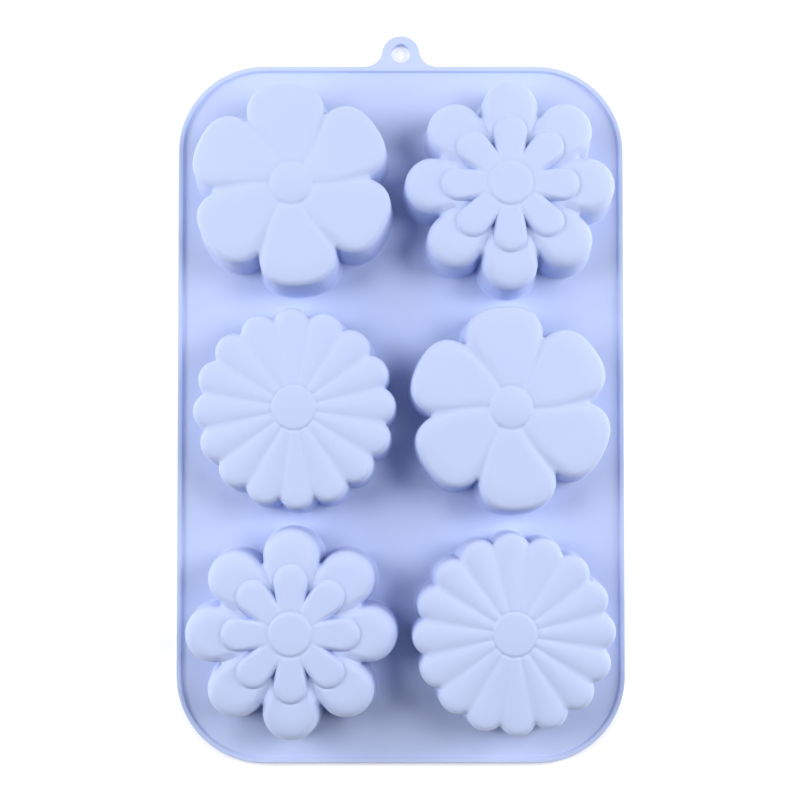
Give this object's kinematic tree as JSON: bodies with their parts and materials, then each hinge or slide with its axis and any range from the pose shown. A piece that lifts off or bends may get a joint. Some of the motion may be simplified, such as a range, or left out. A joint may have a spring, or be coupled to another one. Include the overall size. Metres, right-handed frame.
{
  "type": "silicone soap mould",
  "caption": "Flexible silicone sheet mould with flower-shaped cups for casting soap, a raised rim bead and a hang tab; cup floors press in to pop the soap out.",
  "frame": {"origin": "middle of the sheet's flat face, the face round the mouths of the cups", "axes": "+Z from the flat face up through the cups to their floors, +Y towards the hang tab, +X across the sheet"},
  "size_m": [0.175, 0.2855, 0.0285],
  "materials": {
    "silicone": "matte moulded silicone"
  },
  "bodies": {
    "sheet": {"deck_web": "silicone", "rim_bead": "silicone", "cup_wall_rear_left": "silicone", "cup_wall_rear_right": "silicone", "cup_wall_middle_left": "silicone", "cup_wall_middle_right": "silicone", "cup_wall_front_left": "silicone", "cup_wall_front_right": "silicone"},
    "tab": {"hang_tab": "silicone"},
    "floor_rear_left": {"cup_floor_rear_left": "silicone"},
    "floor_rear_right": {"cup_floor_rear_right": "silicone"},
    "floor_middle_left": {"cup_floor_middle_left": "silicone"},
    "floor_middle_right": {"cup_floor_middle_right": "silicone"},
    "floor_front_left": {"cup_floor_front_left": "silicone"},
    "floor_front_right": {"cup_floor_front_right": "silicone"}
  },
  "joints": [
    {"name": "tab_bend", "type": "hinge", "parent": "sheet", "child": "tab", "pos_m": [0, 0.13845, 0.0017], "axis": [1, 0, 0], "range_deg": [-75, 75], "stiffness_Nm_per_rad": 0.02},
    {"name": "press_rear_left", "type": "slide", "parent": "sheet", "child": "floor_rear_left", "axis": [0, 0, -1], "range_m": [0, 0.012], "stiffness_N_per_m": 1500},
    {"name": "press_rear_right", "type": "slide", "parent": "sheet", "child": "floor_rear_right", "axis": [0, 0, -1], "range_m": [0, 0.012], "stiffness_N_per_m": 1500},
    {"name": "press_middle_left", "type": "slide", "parent": "sheet", "child": "floor_middle_left", "axis": [0, 0, -1], "range_m": [0, 0.012], "stiffness_N_per_m": 1500},
    {"name": "press_middle_right", "type": "slide", "parent": "sheet", "child": "floor_middle_right", "axis": [0, 0, -1], "range_m": [0, 0.012], "stiffness_N_per_m": 1500},
    {"name": "press_front_left", "type": "slide", "parent": "sheet", "child": "floor_front_left", "axis": [0, 0, -1], "range_m": [0, 0.012], "stiffness_N_per_m": 1500},
    {"name": "press_front_right", "type": "slide", "parent": "sheet", "child": "floor_front_right", "axis": [0, 0, -1], "range_m": [0, 0.012], "stiffness_N_per_m": 1500}
  ]
}
